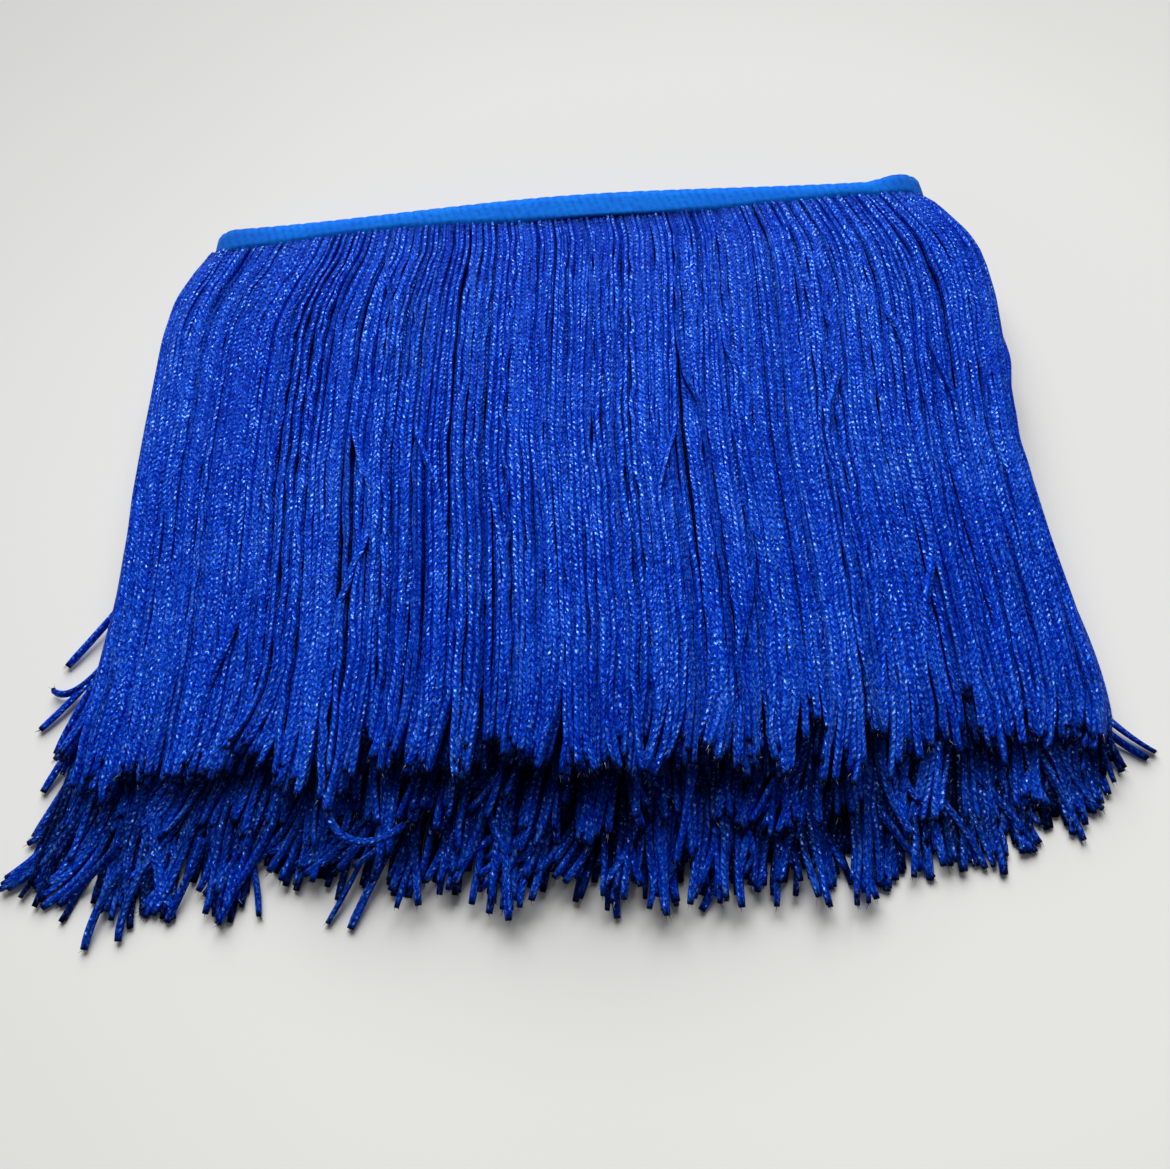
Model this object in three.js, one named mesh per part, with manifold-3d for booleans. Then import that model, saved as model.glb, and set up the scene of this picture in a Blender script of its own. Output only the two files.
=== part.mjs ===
// A length of chainette fringe trim, wound flat into a pack that lies on its broad side.
// The narrow heading tape goes round and round along X, and every turn drops its looped
// strands the same way, towards -Y, so the strands pile up in tiers and splay at their tips.
// Millimetres, +Z up. The origin is the middle of the heading's underside.
import * as THREE from "three";
import Module from "manifold-3d";
import { mergeVertices } from "three/addons/utils/BufferGeometryUtils.js";

const wasm = await Module();
wasm.setup();

// Heading tape
const PACK_LENGTH = 285; // end to end of one run of the winding
const TAPE_WIDTH = 12;
const TAPE_THICKNESS = 1.25;
const TURNS = 8;
const PACK_HEIGHT_MIDDLE = 30;
const PACK_HEIGHT_END = 26;
const LEAN = 0.17; // each layer sits this much further back for every mm of height
const CORNER = 0.92; // share of a half run where its corner begins
const RUN_STATIONS = [-1, -CORNER, -0.7, -0.4, -0.1, 0.1, 0.4, 0.7, CORNER, 1];
const BEND_START = (PACK_LENGTH - PACK_HEIGHT_END) / 2; // half the length of a run
const BEND_STEPS = 5;
const CORNER_SETBACK = 3; // how far the right-hand bend is pushed back
const INNER_TAIL = 14; // the inner end stops this far short of the last bend

// Pile of strands
const BACKING_GAP = 0.45; // between the heading's front edge and a tier's root strip
const BACKING_WIDTH = 3;
const BACKING_BEND_ANGLES = [0.5, 1]; // where its bends are drawn, in radians
const LOCK_START = 0.8; // how far into its root strip a lock starts, as a share of its width
const TIER_COUNT = 6;
const TIER_GAP = 0.7;
const SPREAD_SHARPNESS = 3; // the power of a lock's place that its outward spread grows with
const LOCK_FILL = 0.86; // a lock's width as a share of its lane
const ROOT_FILL = 0.9; // a lock's height as a share of its root strip's
const TIP_FILL = 0.6; // a lock's size at its cut end, as a share of its full size
const TIP_SCATTER = 5; // how unevenly the cut ends lie
const TIP_LENGTH = 12; // the shortest last stretch of a lock
const CORNER_SHORTFALL = 17; // the corner strands spread sideways, so reach less far forward
const CORNER_SHARPNESS = 5; // the power of the place that the shortfall grows with

const SEEDS_PER_TIER = 100;
const SCATTER_RATE = 12.9898; // with the size below, spreads a sine's digits evenly
const SCATTER_SIZE = 43758.5453;
const WELD = 1e-4; // corners closer than this are one

const BLUE = { heading: 0x2a6fdc, strands: 0x1440a8 };

// How the pile changes with the distance forward of the origin.
const PILE = [
  {
    forward: 9,
    halfWidth: PACK_LENGTH / 2,
    centre: 0,
    middleHeight: PACK_HEIGHT_MIDDLE,
    endHeight: PACK_HEIGHT_END,
  },
  { forward: 24, halfWidth: 158, centre: 0.5, middleHeight: 32, endHeight: 26 },
  { forward: 42, halfWidth: 161, centre: 0, middleHeight: 33.5, endHeight: 25 },
  { forward: 110, halfWidth: 159, centre: -3.5, middleHeight: 35, endHeight: 22 },
  { forward: 185, halfWidth: 161, centre: -2.5, middleHeight: 34, endHeight: 16 },
  { forward: 262, halfWidth: 164, centre: -12, middleHeight: 28, endHeight: 10 },
];

// From the top of the pile down. A ring is one third of the turns, counted from the outside.
const TIERS = [
  { name: "outer_fringe_upper", ring: 0, upper: true, locks: 56, sides: 4, reach: 226 },
  { name: "middle_fringe_upper", ring: 1, upper: true, locks: 36, sides: 3, reach: 229 },
  { name: "inner_fringe_upper", ring: 2, upper: true, locks: 32, sides: 3, reach: 239 },
  { name: "inner_fringe_lower", ring: 2, upper: false, locks: 32, sides: 3, reach: 242 },
  { name: "middle_fringe_lower", ring: 1, upper: false, locks: 34, sides: 3, reach: 254 },
  { name: "outer_fringe_lower", ring: 0, upper: false, locks: 42, sides: 3, reach: 259 },
];

const LOWEST_TIER = TIERS.at(-1);

// Locks at the two sides of the lowest tier that have strayed outwards over the floor.
const STRAYS = [
  { fromLeft: 0, outwards: 18, reach: 190 },
  { fromLeft: 1, outwards: 11, reach: 236 },
  { fromLeft: 41, outwards: 13, reach: 223 },
];
const STRAY_START = 0.35; // share of its reach at which a stray leaves the pile

// A repeatable scatter between -1 and 1.
function scatter(seed) {
  const wave = Math.sin(seed * SCATTER_RATE) * SCATTER_SIZE;
  return 2 * (wave - Math.floor(wave)) - 1;
}

// The row of PILE at any distance forward, between the stated ones.
function pileAt(forward) {
  const last = PILE.length - 1;
  if (forward <= PILE[0].forward) return PILE[0];
  if (forward >= PILE[last].forward) return PILE[last];
  const i = PILE.findIndex((row) => row.forward > forward) - 1;
  const share = THREE.MathUtils.inverseLerp(PILE[i].forward, PILE[i + 1].forward, forward);
  const mixed = {};
  for (const key of Object.keys(PILE[i])) {
    mixed[key] = THREE.MathUtils.lerp(PILE[i][key], PILE[i + 1][key], share);
  }
  return mixed;
}

// How far back the heading sits at a place in its section.
function setback(x, z) {
  const corner = THREE.MathUtils.inverseLerp(CORNER * BEND_START, BEND_START, x);
  return LEAN * z + CORNER_SETBACK * THREE.MathUtils.clamp(corner, 0, 1);
}

// The pack's height over a run, highest in the middle.
function heightOver(x, run, middleHeight, endHeight) {
  const share = THREE.MathUtils.smoothstep(Math.abs(x), 0, run);
  return THREE.MathUtils.lerp(middleHeight, endHeight, share);
}

// The middle line of the wound tape, seen along Y, from its outer end to its inner end.
function windingLine() {
  const line = [];
  const run = BEND_START;
  const depthStep = 1 / (2 * TURNS - 1);
  const layerZ = (x, turn, upper) => {
    const room = heightOver(x, run, PACK_HEIGHT_MIDDLE, PACK_HEIGHT_END) - TAPE_THICKNESS;
    const depth = turn * depthStep * room;
    return TAPE_THICKNESS / 2 + (upper ? room - depth : depth);
  };
  const bend = (side, fromAngle, toAngle, fromTurn, toTurn) => {
    for (let i = 1; i < BEND_STEPS; i++) {
      const share = i / BEND_STEPS;
      const angle = THREE.MathUtils.lerp(fromAngle, toAngle, share);
      const turn = THREE.MathUtils.lerp(fromTurn, toTurn, share);
      const radius = (0.5 - turn * depthStep) * (PACK_HEIGHT_END - TAPE_THICKNESS);
      line.push(
        new THREE.Vector2(
          side * (run + radius * Math.cos(angle)),
          PACK_HEIGHT_END / 2 + radius * Math.sin(angle),
        ),
      );
    }
  };
  bend(-1, 0, Math.PI / 2, 0, 0);
  for (let turn = 0; turn < TURNS; turn++) {
    for (const share of RUN_STATIONS) {
      line.push(new THREE.Vector2(share * run, layerZ(share * run, turn, true)));
    }
    bend(1, Math.PI / 2, -Math.PI / 2, turn, turn);
    const lastTurn = turn === TURNS - 1;
    for (const share of RUN_STATIONS.toReversed()) {
      const x = lastTurn && share === -1 ? INNER_TAIL - run : share * run;
      if (lastTurn && share === -CORNER) continue;
      line.push(new THREE.Vector2(x, layerZ(x, turn, false)));
    }
    if (!lastTurn) bend(-1, -Math.PI / 2, Math.PI / 2, turn, turn + 1);
  }
  return line;
}

// The heading tape: the winding line thickened, given the tape's width and leaned.
function headingTape() {
  const line = windingLine();
  const rings = line.map((point, i) => {
    const ahead = line[Math.min(i + 1, line.length - 1)];
    const behind = line[Math.max(i - 1, 0)];
    const along = ahead.clone().sub(behind).normalize();
    const across = new THREE.Vector2(-along.y, along.x).multiplyScalar(TAPE_THICKNESS / 2);
    const [over, under] = [point.clone().add(across), point.clone().sub(across)];
    const corners = [[over, -1], [over, 1], [under, 1], [under, -1]];
    return corners.map(([{ x, y: z }, side]) => {
      return new THREE.Vector3(x, (side * TAPE_WIDTH) / 2 + setback(x, z), z);
    });
  });
  return loft(rings);
}

// A closed solid through a row of rings that have the same number of corners.
function loft(rings) {
  const corners = rings[0].length;
  const positions = rings.flat().flatMap((point) => point.toArray());
  const index = [];
  for (let r = 0; r + 1 < rings.length; r++) {
    for (let c = 0; c < corners; c++) {
      const a = r * corners + c;
      const b = r * corners + ((c + 1) % corners);
      index.push(a, b, b + corners, a, b + corners, a + corners);
    }
  }
  const end = (rings.length - 1) * corners;
  for (let c = 1; c + 1 < corners; c++) {
    index.push(0, c + 1, c);
    index.push(end, end + c, end + c + 1);
  }
  const geometry = new THREE.BufferGeometry();
  geometry.setAttribute("position", new THREE.Float32BufferAttribute(positions, 3));
  geometry.setIndex(facesInwards(rings) ? index.reverse() : index);
  return geometry;
}

// Whether the first ring, seen from the second, turns the wrong way for faces that point out.
function facesInwards(rings) {
  const [a, b, c] = rings[0];
  const normal = b.clone().sub(a).cross(c.clone().sub(a));
  return normal.dot(rings[1][0].clone().sub(a)) < 0;
}

function toSolid(geometry) {
  const merged = mergeVertices(geometry, WELD);
  return new wasm.Manifold(
    new wasm.Mesh({
      numProp: 3,
      vertProperties: merged.getAttribute("position").array,
      triVerts: new Uint32Array(merged.index.array),
    }),
  );
}

function toGeometry(solid) {
  const mesh = solid.getMesh();
  const geometry = new THREE.BufferGeometry();
  geometry.setAttribute("position", new THREE.BufferAttribute(mesh.vertProperties, 3));
  geometry.setIndex(new THREE.BufferAttribute(mesh.triVerts, 1));
  geometry.computeVertexNormals();
  return geometry;
}

// The arch that a tier follows over the pile: a flat run with a bend at each end.
function archOf(tier, pile) {
  const run = pile.halfWidth - pile.endHeight / 2;
  const radius = (0.5 - (tier.ring + 0.5) / TIER_COUNT) * pile.endHeight;
  return { run, radius, half: run + (Math.PI / 2) * radius };
}

// Where a tier's lane lies: its middle, the way out of the pile there, and its thickness.
// The place is measured over the arch, from the pile's middle and to the right.
function laneAt(tier, pile, place) {
  const { run, radius } = archOf(tier, pile);
  const depth = (tier.ring + 0.5) / TIER_COUNT;
  const way = tier.upper ? 1 : -1;
  const side = Math.sign(place);
  const x = Math.min(Math.abs(place), run);
  const heightAt = (at) => heightOver(at, run, pile.middleHeight, pile.endHeight);
  const height = heightAt(x);
  const baseDepth = tier.upper ? 1 - (tier.ring + 1) / TIER_COUNT : tier.ring / TIER_COUNT;
  const slope = (baseDepth * (heightAt(x + 1) - heightAt(x - 1))) / 2;
  const bend = Math.max(0, Math.abs(place) - run) / radius;
  const angle = bend - way * Math.atan(slope);
  const thickness = height / TIER_COUNT - TIER_GAP;
  const lowered = tier === LOWEST_TIER ? TIER_GAP / 2 : 0;
  const bendCentre = height * (tier.upper ? 1 - depth : depth) - way * radius - lowered;
  return {
    x: pile.centre + side * (x + radius * Math.sin(bend)),
    z: bendCentre + way * radius * Math.cos(bend),
    outX: side * Math.sin(angle),
    outZ: way * Math.cos(angle),
    thickness,
    baseShare: bend > 0 ? 1 - thickness / 2 / radius : 1, // a bend is narrower on its inside
  };
}

// A point of a lane's section: tangent and normal offsets from its middle.
function sectionPoint(lane, forward, sideways, outwards) {
  return new THREE.Vector3(
    lane.x + lane.outZ * sideways + lane.outX * outwards,
    -forward,
    lane.z - lane.outX * sideways + lane.outZ * outwards,
  );
}

// How far forward a root strip's back face is, just clear of the heading's front edge.
function backingForward(x, z) {
  return TAPE_WIDTH / 2 + BACKING_GAP - setback(x, z);
}

// The narrow strip of heading that a tier's strands grow from.
function rootStrip(tier) {
  const pile = PILE[0];
  const arch = archOf(tier, pile);
  const last = arch.half * (1 - 0.5 / tier.locks); // a quarter lane past the last lock
  const bend = BACKING_BEND_ANGLES.map((angle) => arch.run + arch.radius * angle);
  const rightBend = [...bend.filter((place) => place < last), last];
  const places = [
    ...rightBend.toReversed().map((place) => -place),
    ...RUN_STATIONS.map((share) => share * arch.run),
    ...rightBend,
  ];
  return places.map((place) => {
    const lane = laneAt(tier, pile, place);
    const half = lane.thickness / 2;
    const corners = [[0, -half], [BACKING_WIDTH, -half], [BACKING_WIDTH, half], [0, half]];
    return corners.map(([forward, outwards]) => {
      const point = sectionPoint(lane, 0, 0, outwards);
      point.y = -backingForward(point.x, point.z) - forward;
      return point;
    });
  });
}

// A lock's section: a diamond with four sides, or a ridge with three that points out of the
// pile. In the lowest tier the ridge points up, and lies flat on the floor.
function lockSection(tier, lane, forward, width, thickness) {
  const t = (thickness / 2) * (tier === LOWEST_TIER ? -1 : 1);
  const w = width / 2;
  const base = w * (tier === LOWEST_TIER ? 1 : lane.baseShare);
  const diamond = [[-w, 0], [0, -t], [w, 0], [0, t]];
  const ridge = [[-base, -t], [base, -t], [0, t]];
  const corners = tier.sides === 4 ? diamond : ridge;
  return corners.map(([sideways, outwards]) => {
    const point = sectionPoint(lane, forward, sideways, outwards);
    return point.setZ(Math.max(point.z, 0));
  });
}

// A lock's place over the arch, and its lane's width. The pile widens in front of its roots,
// and the locks at its two ends take up most of that.
function laneOf(tier, pile, share) {
  const rootHalf = archOf(tier, PILE[0]).half;
  const widening = (archOf(tier, pile).half - rootHalf) * Math.abs(share) ** SPREAD_SHARPNESS;
  const perShare = rootHalf + (SPREAD_SHARPNESS + 1) * widening;
  return { place: share * (rootHalf + widening), laneWidth: (2 * perShare) / tier.locks };
}

// How far forward a lock's cut end is.
function lockReach(tier, share, seed) {
  const shortfall = CORNER_SHORTFALL * Math.abs(share) ** CORNER_SHARPNESS;
  return tier.reach - shortfall + TIP_SCATTER * scatter(seed);
}

// One lock of strands from its root strip to its cut end.
function fringeLock(tier, number) {
  const share = (2 * number + 1) / tier.locks - 1; // from -1 at the left to 1 at the right
  const seed = number + SEEDS_PER_TIER * TIERS.indexOf(tier);
  const stray = tier === LOWEST_TIER && STRAYS.find((row) => row.fromLeft === number);
  const reach = stray ? stray.reach : lockReach(tier, share, seed);
  const root = laneAt(tier, PILE[0], laneOf(tier, PILE[0], share).place);
  const start = backingForward(root.x, root.z) + LOCK_START * BACKING_WIDTH;
  const middles = PILE.slice(1).map((row) => row.forward).filter((f) => f < reach - TIP_LENGTH);
  return [start, ...middles, reach].map((forward) => {
    const pile = pileAt(forward);
    const { place, laneWidth } = laneOf(tier, pile, share);
    const lane = laneAt(tier, pile, place);
    const grown = THREE.MathUtils.inverseLerp(start, reach, forward);
    const room = 0.5 * (1 - LOCK_FILL) * laneWidth * Math.abs(lane.outZ);
    lane.x += room * grown * scatter(seed + 0.5);
    const taper = forward === reach ? TIP_FILL : 1;
    const thickness = lane.thickness * taper * (forward === start ? ROOT_FILL : 1);
    if (stray) leavePile(lane, stray, grown, thickness);
    return lockSection(tier, lane, forward, laneWidth * LOCK_FILL * taper, thickness);
  });
}

// Moves a lane of the pile's side outwards and down to the floor.
function leavePile(lane, stray, grown, thickness) {
  const gone = THREE.MathUtils.smoothstep(grown, STRAY_START, 1);
  lane.x += Math.sign(lane.x) * stray.outwards * gone;
  lane.z = THREE.MathUtils.lerp(lane.z, thickness / 2, gone);
  lane.outX *= 1 - gone;
  lane.outZ = -Math.sqrt(1 - lane.outX ** 2);
}

function tierOfFringe(tier) {
  let solid = toSolid(loft(rootStrip(tier)));
  for (let number = 0; number < tier.locks; number++) {
    solid = solid.add(toSolid(loft(fringeLock(tier, number))));
  }
  return toGeometry(solid);
}

function named(name, geometry, color) {
  const material = new THREE.MeshStandardMaterial({ color, roughness: 0.6, metalness: 0.1 });
  const mesh = new THREE.Mesh(geometry, material);
  mesh.name = name;
  return mesh;
}

const trim = new THREE.Group();
trim.add(named("heading_tape", headingTape(), BLUE.heading));
for (const tier of TIERS) {
  trim.add(named(tier.name, tierOfFringe(tier), BLUE.strands));
}

export default trim;
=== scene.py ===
"""The looks of a chainette fringe trim that is wound flat into a pack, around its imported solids.

Sizes are in millimetres until a mesh is made. Forward is -Y, the way that the strands fall.
"""

import math

import bpy
import numpy as np
from mathutils import Matrix, Vector


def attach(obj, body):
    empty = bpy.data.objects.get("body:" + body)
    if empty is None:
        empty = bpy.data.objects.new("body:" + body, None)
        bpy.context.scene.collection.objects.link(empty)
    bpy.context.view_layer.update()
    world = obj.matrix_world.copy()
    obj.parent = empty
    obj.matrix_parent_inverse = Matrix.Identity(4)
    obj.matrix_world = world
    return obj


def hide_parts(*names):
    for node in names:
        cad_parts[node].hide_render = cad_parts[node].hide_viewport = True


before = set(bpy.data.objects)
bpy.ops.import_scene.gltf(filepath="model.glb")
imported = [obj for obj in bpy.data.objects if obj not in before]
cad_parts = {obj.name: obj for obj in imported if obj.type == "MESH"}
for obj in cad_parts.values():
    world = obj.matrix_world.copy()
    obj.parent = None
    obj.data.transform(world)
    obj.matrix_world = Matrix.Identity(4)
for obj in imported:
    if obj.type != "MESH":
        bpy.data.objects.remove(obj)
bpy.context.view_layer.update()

MM = 0.001
SEED = 41

# Heading tape
PACK_LENGTH = 285
PACK_HEIGHT_MIDDLE = 30
PACK_HEIGHT_END = 26
BEND_START = (PACK_LENGTH - PACK_HEIGHT_END) / 2
TURNS = 8
TAPE_WIDTH = 12
TAPE_THICKNESS = 1.35
RIB_PITCH = 3.1
BEND_SQUARENESS = 0.75  # 1 gives round bends
LEAN = 0.17  # each layer sits this much further back for every mm of height
CORNER = 0.92  # past this share of its run, the heading's right end bends back
CORNER_SETBACK = 3
SKEW = 0.0175  # the heading runs this much further back for every mm to the right

# Strands
STRAND_WIDTH = 2.5
STRAND_THICKNESS = 1.8
STITCH_LENGTH = 2.2
END_SIZE = 0.84  # a cut end's thickness, as a share of the strand's
ROOT_TUCK = 2  # how far a strand starts inside the heading's front edge

# How the pile changes with the distance forward of the origin.
PILE_COLUMNS = ("forward", "half_width", "centre", "middle_height", "end_height")
PILE_ROWS = (
    (-8, 143.5, 0.0, 30.0, 26.0),
    (-4, 146.0, 1.0, 30.0, 26.0),
    (4, 150.0, 1.5, 30.0, 26.0),
    (14, 154.5, 2.5, 31.0, 26.0),
    (24, 158.0, 2.0, 32.0, 26.0),
    (42, 159.5, 1.0, 33.5, 25.0),
    (110, 157.5, -2.5, 35.0, 22.0),
    (150, 158.5, -1.5, 34.5, 19.0),
    (185, 161.5, -1.5, 34.0, 16.0),
    (210, 165.0, -3.0, 32.5, 14.0),
    (236, 163.0, -7.0, 30.5, 12.0),
    (262, 161.0, -8.0, 28.0, 10.0),
)
PILE_STEP = 1.0
PILE_SMOOTHING = 5  # steps on each side
PILE_BEYOND = 40  # how far the table goes on past its last row


# Small helpers


def smoothstep(x, low, high):
    t = np.clip((x - low) / (high - low), 0, 1)
    return t * t * (3 - 2 * t)


def rng_for(number):
    """Random numbers of a part's own, so that a change to one part leaves the others alone."""
    return np.random.default_rng(SEED + number)


def unit(vectors):
    return vectors / np.linalg.norm(vectors, axis=-1, keepdims=True)


def waves(rng, count, across, along, size):
    """A smooth random function of a place across the pile and a distance forward."""
    lengths = rng.uniform(*across, count)
    forward_lengths = rng.uniform(*along, count) * rng.choice((-1, 1), count)
    phases = rng.uniform(0, 2 * math.pi, count)

    def at(place, forward):
        total = np.zeros(np.broadcast(place, forward).shape)
        for length, forward_length, phase in zip(lengths, forward_lengths, phases):
            turns = place / length + forward / forward_length
            total += np.sin(2 * math.pi * turns + phase) * length
        return size * total

    return at


# Camera

CAMERA_TARGET = (-0.65, -158.4, 15)
CAMERA_DISTANCE = 401
CAMERA_AZIMUTH = 1.86  # degrees to the right of straight ahead
CAMERA_ELEVATION = 59.5
CAMERA_ROLL = 4.9
SENSOR_WIDTH = 36
LENS = 37.05
NEAR_CLIP = 10
FAR_CLIP = 20000


def make_camera():
    data = bpy.data.cameras.new("camera")
    data.sensor_width = SENSOR_WIDTH
    data.lens = LENS
    data.clip_start = NEAR_CLIP * MM
    data.clip_end = FAR_CLIP * MM
    camera = bpy.data.objects.new("camera", data)
    bpy.context.scene.collection.objects.link(camera)
    azimuth = math.radians(CAMERA_AZIMUTH)
    elevation = math.radians(CAMERA_ELEVATION)
    roll = math.radians(CAMERA_ROLL)
    back = Vector(
        (
            math.sin(azimuth) * math.cos(elevation),
            -math.cos(azimuth) * math.cos(elevation),
            math.sin(elevation),
        )
    )
    right = (-back).cross(Vector((0, 0, 1))).normalized()
    up = right.cross(-back)
    rolled_right = right * math.cos(roll) - up * math.sin(roll)
    rolled_up = right * math.sin(roll) + up * math.cos(roll)
    turn = Matrix((rolled_right, rolled_up, back)).transposed().to_4x4()
    place = Vector(CAMERA_TARGET) * MM + back * (CAMERA_DISTANCE * MM)
    camera.matrix_world = Matrix.Translation(place) @ turn
    bpy.context.scene.camera = camera


make_camera()


# Nodes


def node(tree, kind, inputs=None, **settings):
    made = tree.nodes.new(kind)
    for name, value in settings.items():
        setattr(made, name, value)
    for key, value in (inputs or {}).items():
        if isinstance(value, bpy.types.NodeSocket):
            tree.links.new(value, made.inputs[key])
        else:
            made.inputs[key].default_value = value
    return made


def maths(tree, operation, a, b=0.0, clamp=False):
    made = node(tree, "ShaderNodeMath", {0: a, 1: b}, operation=operation, use_clamp=clamp)
    return made.outputs[0]


def remap(tree, value, low, high):
    """0 where value is low and 1 where it is high, smooth between them."""
    inputs = {0: value, 1: low, 2: high}
    made = node(tree, "ShaderNodeMapRange", inputs, interpolation_type="SMOOTHSTEP")
    return made.outputs[0]


def mix_colour(tree, factor, a, b):
    made = node(tree, "ShaderNodeMix", {"Factor": factor}, data_type="RGBA")
    for socket, value in zip((made.inputs[6], made.inputs[7]), (a, b)):
        if isinstance(value, bpy.types.NodeSocket):
            tree.links.new(value, socket)
        else:
            socket.default_value = (*value, 1)
    return made.outputs[2]


def noise(tree, place, scale, detail):
    made = node(tree, "ShaderNodeTexNoise", {"Vector": place, "Scale": scale, "Detail": detail})
    return made.outputs["Fac"]


def point_value(tree, name):
    return node(tree, "ShaderNodeAttribute", attribute_name=name).outputs["Fac"]


def uv_axes(tree, name):
    uv = node(tree, "ShaderNodeUVMap", uv_map=name)
    axes = node(tree, "ShaderNodeSeparateXYZ", {0: uv.outputs[0]})
    return axes.outputs[0], axes.outputs[1]


RELIEF_DEPTH = 0.3


def relief(tree, shader, height, strength):
    inputs = {"Height": height, "Distance": RELIEF_DEPTH * MM, "Strength": strength}
    bump = node(tree, "ShaderNodeBump", inputs)
    tree.links.new(bump.outputs[0], shader.inputs["Normal"])


def new_material(name):
    material = bpy.data.materials.new(name)
    material.use_nodes = True
    tree = material.node_tree
    tree.nodes.clear()
    shader = node(tree, "ShaderNodeBsdfPrincipled")
    node(tree, "ShaderNodeOutputMaterial", {"Surface": shader.outputs[0]})
    return material, tree, shader


# Materials


# From painted shade in a valley between stitches to a painted glint of foil, with the yarn's random
# tone in between.
YARN_COLOURS = (
    (0.00, (0.0, 0.009, 0.29)),
    (0.28, (0.001, 0.030, 0.46)),
    (0.52, (0.005, 0.080, 0.66)),
    (0.76, (0.045, 0.17, 0.76)),
    (1.00, (0.16, 0.31, 0.80)),
)
# Near black: the painted shade where little light comes to a strand, and the darkening at its cut
# ends.
PAINTED_SHADE_AND_CUT_END_COLOUR = (0.0006, 0.0015, 0.008)
STITCH_SLANT = 0.85  # in stitches, from the groove to the strand's edge
STITCH_PULL = 0.9  # how unevenly the stitches are pulled
PLIES_PER_STITCH = 3
FLAKE_SCALE = 1500.0
FOIL_SHARE = 0.2
# What each thing adds to a stitch's place in YARN_COLOURS: loop and plies paint shade into the
# valleys between stitches and plies, foil paints a glint on the loops, and fleck, stitch, strand
# and cloud give the yarn's random tone.
GLEAM = dict(
    base=-0.26, loop=0.27, plies=0.08, fleck=0.52, stitch=0.14, strand=0.12, foil=0.5, cloud=0.12
)


def ramp(tree, value, stops):
    made = node(tree, "ShaderNodeValToRGB", {0: value})
    elements = made.color_ramp.elements
    while len(elements) < len(stops):
        elements.new(0.5)
    for element, (position, colour) in zip(elements, stops):
        element.position = position
        element.color = (*colour, 1)
    return made.outputs[0]


def weighted(tree, *terms):
    """The first term, which is a number or a socket, and the sum of values times weights."""
    total = terms[0]
    for value, weight in terms[1:]:
        total = maths(tree, "ADD", total, maths(tree, "MULTIPLY", value, weight))
    return total


def swells(tree, value, rate):
    """Rounded humps from 0 to 1, rate of them for each whole number that value passes."""
    turned = maths(tree, "MULTIPLY", value, rate * math.pi)
    return maths(tree, "ABSOLUTE", maths(tree, "SINE", turned))


def off_the_groove(tree, around):
    """0 on the groove between a strand's two columns of stitches, 1 at its edges."""
    half_turn = maths(tree, "FRACT", maths(tree, "MULTIPLY", around, 2.0))
    off_groove = maths(tree, "ABSOLUTE", maths(tree, "SUBTRACT", half_turn, 0.5))
    return maths(tree, "MULTIPLY", off_groove, 2.0)


def chance_of_stitch(tree, slanted, around, tone):
    """One random number for every stitch."""
    column = maths(tree, "FLOOR", maths(tree, "MULTIPLY", around, 4.0))
    stitch = maths(tree, "FLOOR", slanted)
    strand_key = maths(tree, "MULTIPLY", tone, 97.0)
    cell = node(tree, "ShaderNodeCombineXYZ", {0: stitch, 1: column, 2: strand_key})
    inputs = {"Vector": cell.outputs[0]}
    made = node(tree, "ShaderNodeTexWhiteNoise", inputs, noise_dimensions="3D")
    return made.outputs["Value"]


def fine_flecks(tree, place):
    """Three random numbers for each fine fleck between the fibres."""
    inputs = {"Vector": place, "Scale": FLAKE_SCALE, "Randomness": 1.0}
    made = node(tree, "ShaderNodeTexVoronoi", inputs, feature="F1")
    return node(tree, "ShaderNodeSeparateColor", {0: made.outputs["Color"]}).outputs


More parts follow.
